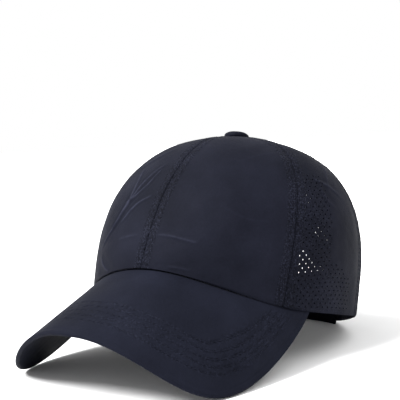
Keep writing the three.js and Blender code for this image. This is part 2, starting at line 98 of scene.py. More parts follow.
# Straps and loop
ELASTIC_WIDTH = 17.5
ELASTIC_THICKNESS = 1.4
ELASTIC_RIBS = 10
ELASTIC_RIB_DEPTH = 0.07
CROSS_UPPER_HEIGHT = 80
CROSS_MIDDLE_HEIGHT = 63
CROSS_LOWER_HEIGHT = 28
CROSS_STEEPNESS = 7
STRAP_TUCK = 6
BACK_STRAP_HEIGHT = 20.5
BACK_STRAP_THICKNESS = 1.5
WEBBING_RIBS = 9
WEBBING_RIB_DEPTH = 0.05
BACK_STRAP_DROP = 4
BACK_STRAP_INSET = 8
BACK_STRAP_RETURN = 24
LOOP_CENTRE_X = 31
LOOP_WIDTH = 13
LOOP_BAR = 2.4
LOOP_DEPTH = 2.2
LOOP_CORNER = 1.6
LOOP_ROUNDNESS = 0.55
LOOP_SIDES = 16
LOOP_FLOOR_CLEARANCE = 0.6
LIFT_RUN = 16
TAB_RUN = 5

# Panels
PANEL_MIDDLES = {"front": 30, "side": 84, "rear": 128}
PANEL_TOP_DISTANCE = 4
CLOTH_THICKNESS = 0.9
FRONT_SPACING = 0.74
CLOTH_SPACING = 1.1
SEAM_SPACING = 0.62
SEAM_BAND = 8
ALLOWANCE_HEIGHT = 0.22
ALLOWANCE_MARGIN = 1.6
ALLOWANCE_RUN = 1.8
# Painted shade: how much a seam's groove darkens the cloth's colour
GROOVE_SHADE = 0.3
INSIDE_RELIEF = 0.7

# Stitches. A stitch has a few rings: how high its thread lies there, and its share of the full radius
STITCH_DISTANCES = (1.9, 5.4)
STITCH_PITCH = 2.7
STITCH_LENGTH = 1.9
STITCH_RINGS = [(-0.16, 0.55), (0.06, 1), (0.06, 1), (-0.16, 0.55)]
THREAD_RADIUS = 0.2
THREAD_SIDES = 5
HEM_STITCH_HEIGHT = 1.7

# Perforations, and where they are: in degrees, shares of the way up, and distances from a seam or the band
# How much painted speckle of highlight and shade the perforated cloth gets, for glints and shadows round its
# holes
HOLE_STIPPLE = 0.6
HOLE_RADIUS = 0.55
HOLE_SIDES = 8
HOLE_PITCH = 4.5
HOLE_COLUMNS = 20
HOLE_ROW = 2.6
HOLE_START = 1.2
HOLE_DEPTH = 0.7
HEM_HEIGHT = 27
SIDE_HOLES = {
    "from_seam": 4.9, "top": 0.47, "end": 79.5,
    "rim_end": 94.5, "rim_share": 0.115, "rim_run": 0.06,
}
REAR_HOLES = {
    "from_band": 4.2, "bottom": 0.045, "top": 0.86, "end": 178,
    "low_start": 117, "low_top": 0.5, "strip_width": 21, "strip_start": 120,
}

# The cloth's waves: height, wavelength, seed and, where it isn't 9, the number of directions
CROWN_WAVES = [(0.3, 46, 3), (0.13, 17, 5), (0.04, 7, 6)]
VISOR_WAVES = [(0.2, 46, 11), (0.07, 15, 12)]
CROWN_CRINKLE = [(0.11, 2.1, 23, 20), (0.088, 4.6, 24, 12)]
VISOR_CRINKLE = [(0.126, 2.7, 13, 18), (0.14, 5.5, 14, 14)]
CRINKLE_START = 0.9

# Grooves in the cloth: depth and half width
GROOVES = {
    "seam": (0.6, 0.6),
    "seam stitches": (0.16, 0.5),
    "hem": (0.5, 0.8),
    "hem stitches": (0.2, 0.5),
    "visor seam": (0.7, 0.9),
    "band": (0.5, 0.9),
    "visor stitches": (0.24, 0.55),
    "visor edge": (0.12, 0.6),
    "visor root": (0.5, 1),
}


def smooth(share):
    share = np.clip(share, 0, 1)
    return share * share * (3 - 2 * share)


def lerp(start, end, share):
    return start + (end - start) * share


def dent(distance, width):
    return np.exp(-((distance / width) ** 2))


def length_of(vectors):
    return np.linalg.norm(vectors, axis=-1)


def unit(vectors):
    return vectors / np.maximum(length_of(vectors)[..., None], 1e-12)


def distance_along(line):
    """How far along a line each of its points is."""
    return np.concatenate([[0], np.cumsum(length_of(np.diff(line, axis=0)))])


def circle(count):
    turns = np.arange(count) * (2 * math.pi / count)
    return np.stack([np.cos(turns), np.sin(turns)], -1)


def solve(rising, target, low, high, steps=34):
    """The value between low and high, for each target, where a steadily rising function reaches it."""
    target = np.asarray(target, float)
    low = np.full(target.shape, float(low))
    high = np.full(target.shape, float(high))
    for _ in range(steps):
        middle = (low + high) / 2
        below = rising(middle) < target
        low = np.where(below, middle, low)
        high = np.where(below, high, middle)
    return (low + high) / 2


def ripples(points, wavelength, seed, count=9):
    """Soft unevenness about zero at points in millimetres: a few waves in chosen directions."""
    rng = np.random.default_rng(seed)
    total = 0
    for direction in unit(rng.normal(size=(count, 3))):
        length = wavelength * rng.uniform(0.75, 1.5)
        total = total + np.sin(points @ direction * (2 * math.pi / length) + rng.uniform(0, 2 * math.pi))
    return total * math.sqrt(2 / count) / 2


def waves(points, table):
    return sum(height * ripples(points, *shape) for height, *shape in table)


def groove(distance, name):
    depth, width = GROOVES[name]
    return -depth * dent(distance, width)


# Crown


def rim_height(angle):
    opening_angle = 180 - math.degrees(math.asin(OPENING_HALF_WIDTH / RIM_HALF_WIDTH))
    over_visor = 1 - np.abs(angle) / VISOR_END_ANGLE
    towards_back = (np.abs(angle) - REAR_DIP_START_ANGLE) / (opening_angle - REAR_DIP_START_ANGLE)
    return FRONT_RIM_RISE * smooth(over_visor) - REAR_RIM_DIP * smooth(towards_back)


def rim_point(angle):
    angle = np.asarray(angle, float)
    along = np.cos(np.radians(angle))
    depth = np.where(along > 0, RIM_FRONT_DEPTH, RIM_REAR_DEPTH)
    return np.stack([RIM_HALF_WIDTH * np.sin(np.radians(angle)), -depth * along, rim_height(angle)], -1)


def shape_at(angle, name):
    front, side, back = CROWN_SHAPE[name]
    along = np.cos(np.radians(angle))
    return lerp(side, np.where(along > 0, front, back), along * along)


def crown_point(angle, share):
    angle, share = np.broadcast_arrays(np.asarray(angle, float), np.asarray(share, float))
    rise = np.radians(90 * np.clip(share, 0, 1))
    spread = np.clip(np.cos(rise), 0, 1) ** shape_at(angle, "inward")
    spread = spread + shape_at(angle, "bulge") * np.sin(2 * rise)
    rim = rim_point(angle)
    height = lerp(rim[..., 2], CROWN_HEIGHT, np.sin(rise) ** shape_at(angle, "rise"))
    return np.stack([rim[..., 0] * spread, lerp(-APEX_FORWARD, rim[..., 1], spread), height], -1)


def crown_normal(angle, share):
    share = np.clip(share, 0.004, 0.994)
    around = crown_point(angle + 0.2, share) - crown_point(angle - 0.2, share)
    upward = crown_point(angle, share + 0.003) - crown_point(angle, share - 0.003)
    return unit(np.cross(around, upward))


def apex_distance(points):
    return np.hypot(points[..., 0], points[..., 1] + APEX_FORWARD)


def degree_width(points):
    """How far one degree goes round the crown at each point."""
    return np.radians(1) * apex_distance(points)


def share_at_distance(angle, distance):
    return float(solve(lambda share: -apex_distance(crown_point(angle, share)), -distance, 0.3, 1))


def angle_at_x(share, x):
    share = np.asarray(share, float)
    return solve(lambda angle: -crown_point(angle, share)[..., 0], -np.asarray(x, float), 90, 180)


TOP_SHARE = share_at_distance(90, PANEL_TOP_DISTANCE)
opening_top_share = share_at_distance(180, OPENING_TOP_DISTANCE)
binding_top_share = share_at_distance(180, BINDING_TOP_DISTANCE)


def opening_edge(share):
    return OPENING_HALF_WIDTH * (1 - np.clip(share / opening_top_share, 0, 1) ** OPENING_POWER)


def binding_edge(share):
    width = OPENING_HALF_WIDTH + BINDING_WIDTH
    return width * (1 - np.clip(share / binding_top_share, 0, 1) ** OPENING_POWER)


def front_seam(share):
    return FRONT_SEAM_ANGLE + FRONT_SEAM_SWAY * np.sin(math.pi * np.clip(share / TOP_SHARE, 0, 1))


def side_seam(share):
    return SIDE_SEAM_ANGLE + SIDE_SEAM_SWEEP * share / TOP_SHARE


def rear_seam(share):
    return np.full(np.shape(share), float(REAR_SEAM_ANGLE))


class Pattern:
    """A panel's flat pattern: x runs along a row from its middle line, y up from the rim."""

    def __init__(self, middle_angle):
        self.middle = middle_angle
        self.shares = np.linspace(0, 0.995, 500)
        line = crown_point(middle_angle, self.shares)
        self.heights = distance_along(line)
        self.radii = apex_distance(line)

    def to_flat(self, angle, share):
        radius = np.interp(share, self.shares, self.radii)
        height = np.interp(share, self.shares, self.heights)
        return np.stack([np.radians(angle - self.middle) * radius, height], -1)

    def from_flat(self, flat):
        share = np.interp(flat[..., 1], self.heights, self.shares)
        radius = np.interp(share, self.shares, self.radii)
        return self.middle + np.degrees(flat[..., 0] / radius), share


MERIDIAN = Pattern(90)

# Creases as lines of angle and share, with the height and width of each fold
# How tall a fold is when the painted highlight on its crest is full, and that highlight's width
FULL_CREASE = 0.7
CREST_HIGHLIGHT_WIDTH = 0.6
CREASE_REACH = 45
CREASES = [
    ([(-34, 0.14), (-25.5, 0.24), (-22.5, 0.315), (-20, 0.405), (-16.5, 0.495), (-11, 0.55)], 0.95, 0.9),
    ([(-27, 0.225), (-23, 0.31), (-22.5, 0.38), (-25, 0.45), (-31, 0.52)], 0.6, 0.8),
    ([(-21, 0.25), (-15, 0.335), (-6.5, 0.368)], 0.7, 0.8),
    ([(-24, 0.33), (-18, 0.385), (-13.5, 0.43), (-11.5, 0.52)], 0.7, 0.8),
    ([(-18, 0.172), (-12, 0.182), (-6, 0.187)], 0.24, 0.9),
    ([(4, 0.187), (11, 0.186), (16.5, 0.177), (23, 0.168)], 0.36, 0.7),
    ([(11, 0.038), (16, 0.043), (21, 0.044)], 0.2, 0.7),
    ([(-33, 0.11), (-27, 0.05), (-22, 0.02)], 0.5, 1.4),
    ([(75, 0.44), (77, 0.425), (83, 0.405), (91, 0.363)], 0.5, 0.9),
    ([(77.5, 0.44), (77, 0.375), (79, 0.325), (83, 0.305)], 0.35, 1.0),
    ([(98, 0.6), (90, 0.52), (84, 0.44), (82, 0.37)], 0.35, 1.6),
    ([(60, 0.62), (48, 0.6), (36, 0.55)], 0.12, 2.0),
    ([(-75, 0.16), (-84, 0.27), (-96, 0.33)], 0.5, 1.2),
    ([(-70, 0.48), (-82, 0.44), (-93, 0.36)], 0.45, 1.2),
    ([(-118, 0.5), (-128, 0.42), (-139, 0.4)], 0.45, 1.2),
    ([(116, 0.56), (127, 0.5), (138, 0.52)], 0.45, 1.2),
    ([(-40, 0.52), (-30, 0.62), (-20, 0.68)], 0.35, 1.6),
    ([(30, 0.33), (41, 0.27), (50, 0.26)], 0.1, 1.8),
]


def distance_to_line(flat, line):
    """The distance of flat points from a polyline, and the share of the way along it."""
    best = np.full(flat.shape[:-1], 1e9)
    where = np.zeros(flat.shape[:-1])
    count = len(line) - 1
    for index in range(count):
        start, end = line[index], line[index + 1]
        step = end - start
        share = np.clip(((flat - start) @ step) / (step @ step), 0, 1)
        distance = length_of(flat - (start + share[..., None] * step))
        closer = distance < best
        best = np.where(closer, distance, best)
        where = np.where(closer, (index + share) / count, where)
    return best, where


def rounded_line(points, rounds=3):
    """A polyline with its corners cut, so that it runs in a soft curve."""
    line = np.array(points, float)
    for _ in range(rounds):
        cuts = [lerp(line[:-1], line[1:], share) for share in (0.25, 0.75)]
        line = np.vstack([line[:1], np.concatenate(cuts, 1).reshape(-1, 2), line[-1:]])
    return line


def creases(angle, share):
    """How far the folds stand out of the cloth, and from 0 to 1 how strong a painted highlight lies on their
    crests.
    """
    total = np.zeros(np.shape(angle))
    crest = np.zeros(np.shape(angle))
    for points, height, width in CREASES:
        line = rounded_line(points)
        pattern = Pattern(line[:, 0].mean())
        near = (np.abs(angle - pattern.middle) < CREASE_REACH) & (share < 0.97)
        if not near.any():
            continue
        flat = pattern.to_flat(angle[near], share[near])
        distance, along = distance_to_line(flat, pattern.to_flat(line[:, 0], line[:, 1]))
        fade = np.sin(math.pi * np.clip(along, 0.02, 0.98)) ** 0.7
        ridge = np.exp(-distance / width)
        total[near] += height * fade * (ridge - 0.3 * dent(distance - 3 * width, 1.6 * width))
        # A painted highlight along the fold's crest, stronger on taller folds
        painted_light = min(1, height / FULL_CREASE) * fade * dent(distance, CREST_HIGHLIGHT_WIDTH)
        crest[near] = np.maximum(crest[near], painted_light)
    return total, crest


def seam_relief(distance, crinkle):
    """A seam's groove in the middle of a raised allowance, which the rows of topstitching crinkle finely."""
    relief = ALLOWANCE_HEIGHT * gather_at(distance) + groove(distance, "seam")
    for row in STITCH_DISTANCES:
        relief = relief + groove(distance - row, "seam stitches")
    return relief + crinkle * gather_at(distance) * smooth(distance / CRINKLE_START)


def gather_at(distance):
    """How gathered the cloth is at a distance from a seam, from 0 to 1."""
    return smooth((STITCH_DISTANCES[1] + ALLOWANCE_MARGIN - distance) / ALLOWANCE_RUN)


def seam_distances(angle, share, points):
    size = np.abs(angle)
    turns = (angle - front_seam(share), size - side_seam(share), size - rear_seam(share))
    return [np.abs(turn) * degree_width(points) for turn in turns]


def crown_finish(angle, share):
    """For the material: how gathered or holed the cloth is, which sets its painted speckle of highlight and
    shade, and the painted highlight on a crease's crest or, below 0, the painted shade in a seam's groove.
    """
    nearest = np.min(seam_distances(angle, share, crown_point(angle, share)), axis=0)
    painted_light = creases(angle, share)[1] - GROOVE_SHADE * dent(nearest, GROOVES["seam"][1])
    size = np.abs(angle)
    behind = size > rear_seam(share)
    perforated = np.where(behind, rear_zone(size, share), side_zone(size, share))
    # Gathered and perforated cloth get a painted speckle of highlight and shade
    gathered = np.maximum(gather_at(nearest), HOLE_STIPPLE * perforated)
    return np.stack([gathered, painted_light], -1)


def crown_relief(angle, share):
    """How far the cloth stands out of the crown's plain shape. The angle is signed: + is the left."""
    points = crown_point(angle, share)
    along = np.interp(share, MERIDIAN.shares, MERIDIAN.heights)
    size = np.abs(angle)
    relief = waves(points, CROWN_WAVES) + creases(angle, share)[0]
    crinkle = waves(points, CROWN_CRINKLE)
    for distance in seam_distances(angle, share, points):
        relief = relief + seam_relief(distance, crinkle)
    hem = groove(along, "hem") + groove(along - HEM_STITCH_HEIGHT, "hem stitches")
    relief = relief + np.where(size < VISOR_END_ANGLE, groove(along, "visor seam"), hem)
    from_band = np.abs(points[..., 0]) - binding_edge(share)
    beside_band = (size > REAR_SEAM_ANGLE) & (from_band < SEAM_BAND)
    relief = relief + np.where(beside_band, groove(from_band, "band"), 0)
    return relief * smooth((0.99 - share) / 0.03)


def cloth_point(angle, share):
    return crown_point(angle, share) + crown_normal(angle, share) * crown_relief(angle, share)[..., None]


# Mesh helpers


def to_row(points):
    """Points of the cap's own frame, in millimetres, to the row frame in metres."""
    tilt = math.radians(REST_TILT)
    x, y, z = np.moveaxis(np.asarray(points, float), -1, 0)
    forward = y * math.cos(tilt) + z * math.sin(tilt)
    height = z * math.cos(tilt) - y * math.sin(tilt)
    return (np.stack([x, forward, height], -1) + np.array(CAP_PLACE)) * MM


def add_piece(name, points, faces, look, cloth=None, finish=None, sharp_angle=52, slot=None):
    """A piece in place of the solid of its name, which is then hidden, or, with a slot given, one more piece
    that hides no solid.
    """
    mesh = bpy.data.meshes.new(name)
    mesh.from_pydata(to_row(points).reshape(-1, 3).tolist(), [], faces)
    mesh.validate()
    for label, values in (("cloth", cloth), ("finish", finish)):
        if values is not None:
            vectors = np.pad(np.reshape(values, (-1, 2)), ((0, 0), (0, 1))).astype(np.float32)
            layer = mesh.attributes.new(label, "FLOAT_VECTOR", "POINT")
            layer.data.foreach_set("vector", vectors.ravel())
    mesh.shade_smooth()
    mesh.set_sharp_from_angle(angle=math.radians(sharp_angle))
    mesh.materials.append(materials[look])
    piece = bpy.data.objects.new(name, mesh)
    bpy.context.scene.collection.objects.link(piece)
    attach(piece, "root")
    if slot is None:
        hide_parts(name)


def open_edges(triangles):
    """Edges with a triangle on one side only, in the order that the triangle runs."""
    edges = np.concatenate([triangles[:, [0, 1]], triangles[:, [1, 2]], triangles[:, [2, 0]]])
    keys = np.sort(edges, 1)
    _, first, counts = np.unique(keys, axis=0, return_index=True, return_counts=True)
    return edges[first[counts == 1]]


def tube_faces(rows, columns):
    """Faces of a closed-ended tube: rows of points along it, columns round it."""
    index = np.arange(rows * columns).reshape(rows, columns)
    after = np.roll(index, -1, axis=1)
    quads = np.stack([index[:-1], after[:-1], after[1:], index[1:]], -1)
    return quads.reshape(-1, 4).tolist() + [index[0, ::-1].tolist(), index[-1].tolist()]


def add_tube(name, rows, look, cloth, **details):
    """A piece that is a closed-ended tube, from an array of rings."""
    add_piece(name, rows, tube_faces(*rows.shape[:2]), look, cloth, **details)


def resample(line, spacing):
    along = distance_along(line)
    count = max(2, int(round(along[-1] / spacing)))
    wanted = np.linspace(0, along[-1], count + 1)
    return np.stack([np.interp(wanted, along, values) for values in line.T], -1)


# Perforated and plain panels


def hole_centres(pattern, wanted):
    """A staggered lattice of hole centres in the flat pattern, kept where the wanted function says so."""
    rows = np.arange(1, int(pattern.heights[-1] / HOLE_ROW))[:, None]
    columns = np.arange(-HOLE_COLUMNS, HOLE_COLUMNS + 1)
    x = HOLE_PITCH * columns + HOLE_PITCH / 2 * (rows % 2)
    centres = np.stack(np.broadcast_arrays(x, HOLE_ROW * rows + HOLE_START), -1).reshape(-1, 2)
    return centres[wanted(*pattern.from_flat(centres))]


def grid_points(left, right, heights, coarse):
    """Points inside a panel: a coarse lattice, and a finer one in the band beside its seams."""
    points = []
    for spacing in (coarse, SEAM_SPACING):
        row_step = spacing * math.sqrt(3) / 2
        for row, y in enumerate(np.arange(row_step, heights[-1] - 0.3, row_step)):
            x = np.arange(left[:, 0].min(), right[:, 0].max(), spacing) + (spacing / 2 if row % 2 else 0)
            from_left = x - np.interp(y, heights, left[:, 0])
            from_edge = np.minimum(from_left, np.interp(y, heights, right[:, 0]) - x)
            in_band = (from_edge > 0.6 * spacing) & (from_edge < SEAM_BAND)
            x = x[in_band] if spacing == SEAM_SPACING else x[from_edge >= SEAM_BAND + 0.4 * spacing]
            points.append(np.stack([x, np.full(x.shape, y)], -1))
    return np.concatenate(points)


def panel_mesh(pattern, from_angle, to_angle, holes):
    """Flat points and triangles of a panel between two edges, and each triangle's hole, or -1 for cloth."""
    coarse = CLOTH_SPACING if len(holes) else FRONT_SPACING
    heights = np.linspace(0, pattern.to_flat(pattern.middle, TOP_SHARE)[1], 400)
    shares = np.interp(heights, pattern.heights, pattern.shares)
    left = pattern.to_flat(from_angle(shares), shares)
    right = pattern.to_flat(to_angle(shares), shares)
    sides = [np.stack([left[0], right[0]]), right, np.stack([right[-1], left[-1]]), left[::-1]]
    spacings = (coarse, SEAM_SPACING, SEAM_SPACING, SEAM_SPACING)
    outline = np.concatenate([resample(side, spacing)[:-1] for side, spacing in zip(sides, spacings)])
    grid = grid_points(left, right, heights, coarse)
    faces = [list(range(len(outline)))]
    clear = np.full(len(grid), 1e9)
    for centre in holes:
        first = len(outline) + (len(faces) - 1) * HOLE_SIDES
        faces.append(list(range(first, first + HOLE_SIDES)))
        clear = np.minimum(clear, np.abs(grid - centre).max(1))
    rings = (holes[:, None] + HOLE_RADIUS * circle(HOLE_SIDES)).reshape(-1, 2)
    flat = np.concatenate([outline, rings, grid[clear > HOLE_RADIUS + 0.3]])
    done = delaunay_2d_cdt([Vector(point) for point in flat], [], faces, 1, 1e-4, True)
    flat = np.array([tuple(point) for point in done[0]])
    owned = [(face, max(owners) - 1) for face, owners in zip(done[2], done[5]) if owners]
    triangles = np.array([face for face, _ in owned])
    hole_of = np.array([hole for _, hole in owned])
    a, b, c = (flat[triangles[:, k]] for k in range(3))
    area = (b[:, 0] - a[:, 0]) * (c[:, 1] - a[:, 1]) - (b[:, 1] - a[:, 1]) * (c[:, 0] - a[:, 0])
    if area.sum() < 0:
        triangles = triangles[:, ::-1]
    return flat, triangles, hole_of


def add_panel(name, pattern, from_angle, to_angle, holes, side, look):
    """A panel with its holes cut through. The low ones stop at the hem, which is turned up inside."""
    flat, triangles, hole_of = panel_mesh(pattern, from_angle, to_angle, holes)
    angle, share = pattern.from_flat(flat)
    if side < 0:
        angle = -angle
        triangles = triangles[:, ::-1]
    relief = crown_relief(angle, share)
    back = np.minimum(INSIDE_RELIEF * relief, relief)
    offsets = np.concatenate([relief, back - CLOTH_THICKNESS, back - HOLE_DEPTH])
    layers = np.tile(crown_point(angle, share), (3, 1))
    layers = layers + np.tile(crown_normal(angle, share), (3, 1)) * offsets[:, None]
    count = len(flat)
    cloth = hole_of < 0
    stopped = ~cloth
    if len(holes):
        stopped &= holes[hole_of, 1] < HEM_HEIGHT
    ring = np.zeros(count, bool)
    ring[triangles[stopped]] = True
    edges = open_edges(triangles[cloth])
    depth = np.where(ring[edges].all(1), 2 * count, count)
    walls = np.stack([edges[:, 1], edges[:, 0], edges[:, 0] + depth, edges[:, 1] + depth], -1)
    inner = triangles[cloth | stopped][:, ::-1] + count
    parts = (triangles[cloth], inner, triangles[stopped] + 2 * count, walls)
    used = np.unique(np.concatenate([part.ravel() for part in parts]))
    order = np.zeros(3 * count, int)
    order[used] = np.arange(len(used))
    faces = [face for part in parts for face in order[part].tolist()]
    finish = crown_finish(angle, share)
    add_piece(name, layers[used], faces, look, np.tile(flat, (3, 1))[used], np.tile(finish, (3, 1))[used])


def side_zone(angle, share):
    """Where the side panel is perforated: a strip behind its front seam, wider towards the rim."""
    behind = (angle - side_seam(share)) * degree_width(crown_point(angle, share))
    low = smooth((SIDE_HOLES["rim_share"] - share) / SIDE_HOLES["rim_run"])
    last = lerp(SIDE_HOLES["end"], SIDE_HOLES["rim_end"], low)
    return (behind > SIDE_HOLES["from_seam"]) & (angle < last) & (share < SIDE_HOLES["top"])


def rear_zone(angle, share):
    """Where the rear panel is perforated: low down, and beside the band nearly up to the button."""
    from_band = np.abs(crown_point(angle, share)[..., 0]) - binding_edge(share)
    inside = (from_band > REAR_HOLES["from_band"]) & (angle < REAR_HOLES["end"])
    inside &= (share > REAR_HOLES["bottom"]) & (share < REAR_HOLES["top"])
    low = (angle > REAR_HOLES["low_start"]) & (share < REAR_HOLES["low_top"])
    beside_band = (from_band < REAR_HOLES["strip_width"]) & (angle > REAR_HOLES["strip_start"])
    return inside & (low | beside_band)


# Stitches


def stitches(lines):
    """Points and faces of threads that run along lines; each line is its points and their normals."""
    lift, girth = np.array(STITCH_RINGS).T
    faces = tube_faces(len(lift), THREAD_SIDES)
    stride = len(lift) * THREAD_SIDES
    round_thread = circle(THREAD_SIDES)
    all_points, all_faces = [], []
    used = 0
    for line, normals in lines:
        both = resample(np.concatenate([line, normals], 1), 0.4)
        along = distance_along(both[:, :3])
        count = int(along[-1] / STITCH_PITCH)
        starts = (np.arange(count) + 0.2) * STITCH_PITCH
        places = starts[:, None] + np.linspace(0, STITCH_LENGTH, len(lift))
        at = np.stack([np.interp(places, along, values) for values in both.T], -1)
        centre, normal = at[..., :3], unit(at[..., 3:])
        across = unit(np.cross(normal, unit(centre[:, -1:] - centre[:, :1])))
        ring = across[:, :, None] * round_thread[:, :1] + normal[:, :, None] * round_thread[:, 1:]
        middle = centre + normal * lift[:, None]
        points = middle[:, :, None] + ring * (THREAD_RADIUS * girth)[:, None, None]
        all_points.append(points.reshape(-1, 3))
        for start in range(used, used + count * stride, stride):
            all_faces += [[i + start for i in face] for face in faces]
        used += count * stride
    return np.concatenate(all_points), all_faces


def crown_line(angle, share):
    return cloth_point(angle, share), crown_normal(angle, share)


def beside(seam, distance, share):
    """The angles of a line that keeps a distance from a seam."""
    centre = seam(share)
    return centre + distance / degree_width(crown_point(centre, share))


def crown_stitch_lines():
    share = np.linspace(0.02, 0.9, 300)
    lines = []
    for offset in [sign * distance for distance in STITCH_DISTANCES for sign in (1, -1)]:
        lines.append(crown_line(beside(front_seam, offset, share), share))
        for sign in (1, -1):
            for seam in (side_seam, rear_seam):
                lines.append(crown_line(sign * beside(seam, offset, share), share))
    low = np.interp(HEM_STITCH_HEIGHT, MERIDIAN.heights, MERIDIAN.shares)
    end = float(angle_at_x(low, binding_edge(low)))
    for sign in (1, -1):
        angle = sign * np.linspace(VISOR_END_ANGLE + 1, end - 0.5, 200)
        lines.append(crown_line(angle, np.full(angle.shape, low)))
    return lines


# Band along the opening's edge


def band_frame(share, across, side):
    x = np.maximum(lerp(binding_edge(share), opening_edge(share), across), 0.12)
    angle = angle_at_x(share, x)
    return crown_point(side * angle, share), crown_normal(side * angle, share)


# The band's section: shares of its width, and millimetres out of the crown
BAND_SECTION = [
    (0.0, -0.5), (0.0, 0.12), (0.03, 0.4), (0.1, 0.5), (0.16, 0.38), (0.22, 0.55), (0.4, 0.66),
    (0.6, 0.66), (0.78, 0.56), (0.84, 0.38), (0.9, 0.52), (0.97, 0.4), (1.0, 0.0), (1.0, -0.8),
    (0.97, -1.25), (0.85, -1.5), (0.6, -1.6), (0.4, -1.6), (0.15, -1.5), (0.0, -1.2),
]
BAND_PUCKER = 0.13
BAND_PUCKER_PITCH = 3.9
BAND_STITCH_SHARES = (0.16, 0.84)
BAND_STITCH_HEIGHT = 0.42
BAND_TIP_SHARE = 0.985


def add_band(side):
    """One band along the opening's edge. It returns the lines of its two rows of stitches."""
    shares = np.linspace(0, binding_top_share * BAND_TIP_SHARE, 190)
    heights = np.interp(shares, MERIDIAN.shares, MERIDIAN.heights)
    rows, cloth = [], []
    for across, offset in BAND_SECTION[::-side]:
        point, normal = band_frame(shares, across, side)
        phase = heights * (2 * math.pi / BAND_PUCKER_PITCH) + 1.5 * ripples(point, 14, 31)
        pucker = BAND_PUCKER * np.sin(phase) * dent(across - 0.5, 0.45) * (offset > 0)
        rows.append(point + normal * (offset + pucker)[..., None])
        cloth.append(np.stack([np.full(shares.shape, across * BINDING_WIDTH), heights], -1))
    name = f"opening_binding_{SIDE_WORDS[side]}"
    add_tube(name, np.stack(rows, 1), "binding_cloth", np.stack(cloth, 1))
    lines = []
    for across in BAND_STITCH_SHARES:
        point, normal = band_frame(shares[2:], across, side)
        lines.append((point + normal * BAND_STITCH_HEIGHT, normal))
    return lines


# Visor


def visor_outline(u):
    turn = np.radians(90 * u)
    x = VISOR_HALF_WIDTH * np.sign(u) * np.abs(np.sin(turn)) ** VISOR_OUTLINE_POWERS[0]
    reach = RIM_FRONT_DEPTH + VISOR_LENGTH + VISOR_WIDEST_Y
    y = VISOR_WIDEST_Y - reach * np.clip(np.cos(turn), 0, 1) ** VISOR_OUTLINE_POWERS[1]
    forward = -y - RIM_FRONT_DEPTH
    growth = 1 + VISOR_DROOP_GROWTH * forward / VISOR_LENGTH
    droop = VISOR_DROOP * growth * (np.abs(x) / VISOR_HALF_WIDTH) ** VISOR_DROOP_POWER
    z = FRONT_RIM_RISE - droop - forward * math.tan(math.radians(VISOR_SLOPE))
    end = rim_point(VISOR_END_ANGLE * np.sign(u))
    return lerp(np.stack([x, y, z], -1), end, (np.abs(u) ** VISOR_CORNER_POWER)[..., None])


def visor_point(u, v):
    return lerp(rim_point(VISOR_END_ANGLE * u), visor_outline(u), v[..., None])


def visor_up(u, v):
    low_u, high_u = np.clip(u - 0.001, -0.9999, 0.9999), np.clip(u + 0.001, -0.9999, 0.9999)
    around = visor_point(high_u, v) - visor_point(low_u, v)
    outward = visor_outline(u) - rim_point(VISOR_END_ANGLE * u)
    return -unit(np.cross(around, outward))


# Distances of the stitch rows from the visor's outline, at its middle and at its corners
VISOR_ROWS = [(14, 10.5), (18.6, 12.6), (23.2, 14.8), (27.8, 16.9), (32.5, 19)]
VISOR_CORNER_START = 0.5
VISOR_CORNER_RUN = 0.35
EDGE_RADIUS = VISOR_THICKNESS / 2
EDGE_SWELL = 0.08
VISOR_TUCK = 2.6
# How much painted speckle of highlight and shade the visor gets along its stitch rows
VISOR_STIPPLE = 0.7
VISOR_GATHER_WIDTH = 1.7
VISOR_STITCH_DEPTH = 0.16
VISOR_EDGE_SEAM = 3.6
VISOR_ROOT_RUN = 9
UNDERSIDE_RELIEF = 0.55
VISOR_COLUMNS = 560
VISOR_TOP_ROWS = 108
VISOR_EDGE_ROWS = 9
VISOR_UNDER_ROWS = 28


def visor_row_distance(row, u):
    return lerp(row[0], row[1], smooth((np.abs(u) - VISOR_CORNER_START) / VISOR_CORNER_RUN))


def distance_to_outline(points):
    """The distance of visor points from its outline."""
    outline = visor_outline(np.linspace(-VISOR_LAST_COLUMN, VISOR_LAST_COLUMN, 500))
    flat = points.reshape(-1, 3)
    best = np.empty(len(flat))
    for start in range(0, len(flat), 4000):
        part = flat[start : start + 4000]
        best[start : start + 4000] = np.sqrt(((part[:, None] - outline[None]) ** 2).sum(-1)).min(1)
    return best.reshape(points.shape[:-1])


def visor_relief(u, points, from_edge, from_crown):
    """How far the cloth stands out of the visor's plain shape, and how gathered it is by its stitching."""
    away = smooth(from_crown / VISOR_ROOT_RUN)
    gathered = np.zeros(len(points))
    stitched = np.zeros(len(points))
    for row in VISOR_ROWS:
        from_row = from_edge - visor_row_distance(row, u)
        gathered = np.maximum(gathered, away * dent(from_row, VISOR_GATHER_WIDTH))
        stitched = stitched + away * groove(from_row, "visor stitches")
    relief = waves(points, VISOR_WAVES) + waves(points, VISOR_CRINKLE) * gathered + stitched
    seams = groove(from_edge - VISOR_EDGE_SEAM, "visor edge") + groove(from_crown, "visor root")
    return relief + seams, gathered


